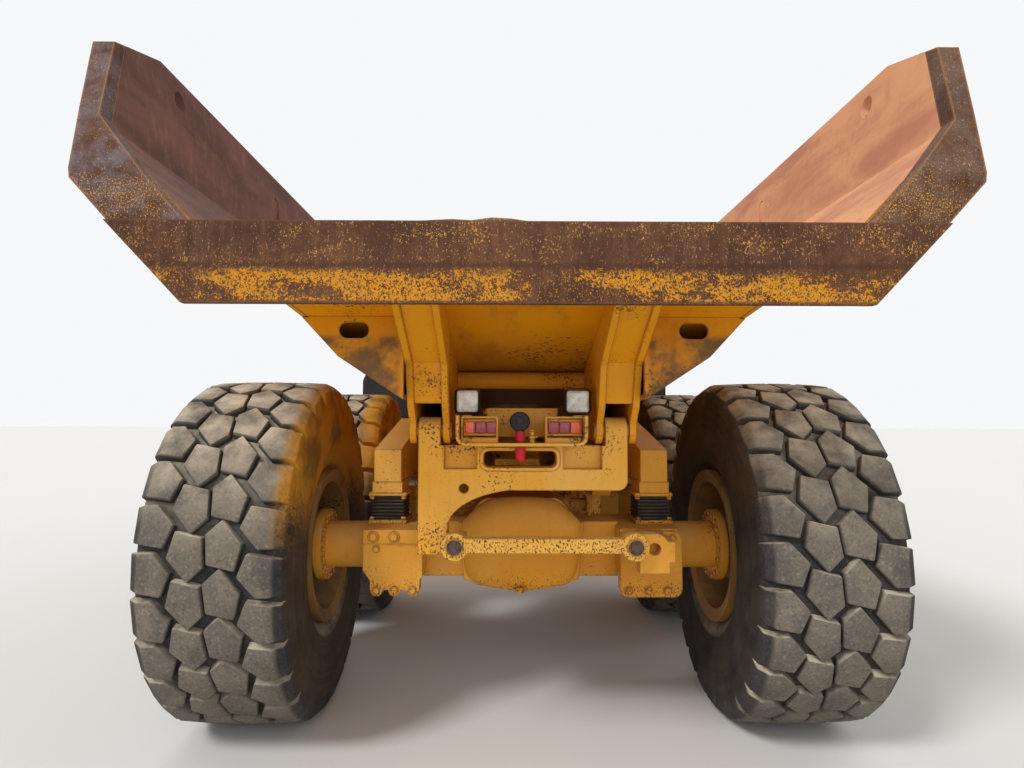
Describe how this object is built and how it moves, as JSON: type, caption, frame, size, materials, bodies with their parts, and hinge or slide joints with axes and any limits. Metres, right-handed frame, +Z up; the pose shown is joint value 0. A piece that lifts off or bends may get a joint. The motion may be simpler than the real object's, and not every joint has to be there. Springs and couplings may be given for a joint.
{
  "type": "articulated dump truck",
  "caption": "Articulated off-road dump truck: hinged front frame with cab and sloping hood, rear frame on tandem driven axles, and a wide open rear-tipping bed with a heavy tail sill.",
  "frame": {"origin": "middle of the overall length and width, on the ground", "axes": "+Y towards the nose, +X to the right-hand side as seen from behind, +Z up"},
  "size_m": [2.97, 9.77, 3.44],
  "materials": {
    "yellow_paint": "worn satin",
    "rusty_steel": "rusty",
    "bed_paint": "worn satin",
    "tyre_rubber": "dusty",
    "rim_paint": "dusty",
    "black_rubber": "matte",
    "black_steel": "satin",
    "engine_iron": "matte",
    "bright_steel": "polished",
    "cab_white": "satin",
    "cab_plastic": "matte",
    "seat_fabric": "woven",
    "window_glass": "clear",
    "lamp_red": "glossy",
    "lamp_clear": "glossy"
  },
  "bodies": {
    "rear_frame": {"rear_rails": "yellow_paint", "pivot_casting": "yellow_paint", "rear_axle": "yellow_paint", "middle_axle": "yellow_paint", "walking_beams": "yellow_paint", "rubber_mounts": "black_rubber", "drive_shafts": "black_steel", "cross_rod": "yellow_paint", "lamp_guard": "yellow_paint", "tail_lamps": "lamp_red", "work_lamps": "lamp_clear", "reversing_alarm": "cab_plastic"},
    "hitch": {"hitch": "yellow_paint"},
    "bed": {"bed_floor": "rusty_steel", "bed_wall_left": "bed_paint", "bed_wall_right": "bed_paint", "bed_front": "bed_paint", "bed_tail": "rusty_steel", "bed_rails": "bed_paint", "wheel_flaps": "black_rubber"},
    "front_frame": {"front_rails": "yellow_paint", "front_axle_beam": "yellow_paint", "struts": "bright_steel", "engine_block": "engine_iron", "radiator": "black_steel", "bumper": "black_steel", "mudguards": "yellow_paint", "steps": "black_steel", "cab_shell": "yellow_paint", "cab_glass": "window_glass", "cab_roof": "cab_white", "seat": "seat_fabric", "steering_column": "cab_plastic", "exhaust": "black_steel", "air_cleaner": "black_steel", "mirrors": "black_steel", "headlamps": "lamp_clear"},
    "cab_door": {"cab_door": "yellow_paint", "door_glass": "window_glass"},
    "hood": {"hood": "yellow_paint"},
    "hoist_barrel_left": {"hoist_barrel_left": "yellow_paint"},
    "hoist_rod_left": {"hoist_rod_left": "bright_steel"},
    "steer_barrel_left": {"steer_barrel_left": "yellow_paint"},
    "steer_rod_left": {"steer_rod_left": "bright_steel"},
    "wheel_rear_left": {"tyre_rear_left": "tyre_rubber", "rim_rear_left": "rim_paint"},
    "wheel_middle_left": {"tyre_middle_left": "tyre_rubber", "rim_middle_left": "rim_paint"},
    "wheel_front_left": {"tyre_front_left": "tyre_rubber", "rim_front_left": "rim_paint"},
    "hoist_barrel_right": {"hoist_barrel_right": "yellow_paint"},
    "hoist_rod_right": {"hoist_rod_right": "bright_steel"},
    "steer_barrel_right": {"steer_barrel_right": "yellow_paint"},
    "steer_rod_right": {"steer_rod_right": "bright_steel"},
    "wheel_rear_right": {"tyre_rear_right": "tyre_rubber", "rim_rear_right": "rim_paint"},
    "wheel_middle_right": {"tyre_middle_right": "tyre_rubber", "rim_middle_right": "rim_paint"},
    "wheel_front_right": {"tyre_front_right": "tyre_rubber", "rim_front_right": "rim_paint"}
  },
  "joints": [
    {"name": "bed_tip", "type": "hinge", "parent": "rear_frame", "child": "bed", "pos_m": [0, -4.035, 1.33], "axis": [1, 0, 0], "range_deg": [0, 70]},
    {"name": "oscillate", "type": "hinge", "parent": "rear_frame", "child": "hitch", "pos_m": [0, 0.865, 0.9], "axis": [0, 1, 0], "range_deg": [-15, 15]},
    {"name": "steer", "type": "hinge", "parent": "hitch", "child": "front_frame", "pos_m": [0, 0.865, 0.9], "axis": [0, 0, 1], "range_deg": [-45, 45]},
    {"name": "cab_door_swing", "type": "hinge", "parent": "front_frame", "child": "cab_door", "pos_m": [-0.714, 1.655, 2.5], "axis": [0, 0, 1], "range_deg": [0, 85]},
    {"name": "hood_tilt", "type": "hinge", "parent": "front_frame", "child": "hood", "pos_m": [0, 4.67, 1.26], "axis": [-1, 0, 0], "range_deg": [0, 60]},
    {"name": "wheel_rear_left_spin", "type": "hinge", "parent": "rear_frame", "child": "wheel_rear_left", "pos_m": [-1.185, -3.585, 0.776], "axis": [1, 0, 0], "continuous": true},
    {"name": "wheel_middle_left_spin", "type": "hinge", "parent": "rear_frame", "child": "wheel_middle_left", "pos_m": [-1.185, -1.885, 0.776], "axis": [1, 0, 0], "continuous": true},
    {"name": "wheel_front_left_spin", "type": "hinge", "parent": "front_frame", "child": "wheel_front_left", "pos_m": [-1.185, 2.215, 0.776], "axis": [1, 0, 0], "continuous": true},
    {"name": "hoist_swing_left", "type": "hinge", "parent": "rear_frame", "child": "hoist_barrel_left", "pos_m": [-0.215, -3.335, 0.93], "axis": [1, 0, 0], "range_deg": [0, 75]},
    {"name": "hoist_stroke_left", "type": "slide", "parent": "hoist_barrel_left", "child": "hoist_rod_left", "axis": [0, 0.9797, 0.2007], "range_m": [0, 0.91]},
    {"name": "steer_swing_left", "type": "hinge", "parent": "front_frame", "child": "steer_barrel_left", "pos_m": [-0.3, 1.735, 0.93], "axis": [0, 0, 1], "range_deg": [-4, 4]},
    {"name": "steer_stroke_left", "type": "slide", "parent": "steer_barrel_left", "child": "steer_rod_left", "axis": [0.0412, -0.9992, 0], "range_m": [-0.193, 0.193]},
    {"name": "wheel_rear_right_spin", "type": "hinge", "parent": "rear_frame", "child": "wheel_rear_right", "pos_m": [1.185, -3.585, 0.776], "axis": [1, 0, 0], "continuous": true},
    {"name": "wheel_middle_right_spin", "type": "hinge", "parent": "rear_frame", "child": "wheel_middle_right", "pos_m": [1.185, -1.885, 0.776], "axis": [1, 0, 0], "continuous": true},
    {"name": "wheel_front_right_spin", "type": "hinge", "parent": "front_frame", "child": "wheel_front_right", "pos_m": [1.185, 2.215, 0.776], "axis": [1, 0, 0], "continuous": true},
    {"name": "hoist_swing_right", "type": "hinge", "parent": "rear_frame", "child": "hoist_barrel_right", "pos_m": [0.215, -3.335, 0.93], "axis": [1, 0, 0], "range_deg": [0, 75]},
    {"name": "hoist_stroke_right", "type": "slide", "parent": "hoist_barrel_right", "child": "hoist_rod_right", "axis": [0, 0.9797, 0.2007], "range_m": [0, 0.91]},
    {"name": "steer_swing_right", "type": "hinge", "parent": "front_frame", "child": "steer_barrel_right", "pos_m": [0.3, 1.735, 0.93], "axis": [0, 0, 1], "range_deg": [-4, 4]},
    {"name": "steer_stroke_right", "type": "slide", "parent": "steer_barrel_right", "child": "steer_rod_right", "axis": [-0.0412, -0.9992, 0], "range_m": [-0.193, 0.193]}
  ],
  "couplings": [
    {"joint": "hoist_swing_left", "follows": "bed_tip", "ratio": 1.06},
    {"joint": "hoist_stroke_left", "follows": "bed_tip", "m_per_rad": 0.742},
    {"joint": "steer_swing_left", "follows": "steer", "ratio": -0.085},
    {"joint": "steer_stroke_left", "follows": "steer", "m_per_rad": -0.244},
    {"joint": "hoist_swing_right", "follows": "bed_tip", "ratio": 1.06},
    {"joint": "hoist_stroke_right", "follows": "bed_tip", "m_per_rad": 0.742},
    {"joint": "steer_swing_right", "follows": "steer", "ratio": -0.085},
    {"joint": "steer_stroke_right", "follows": "steer", "m_per_rad": 0.244}
  ]
}
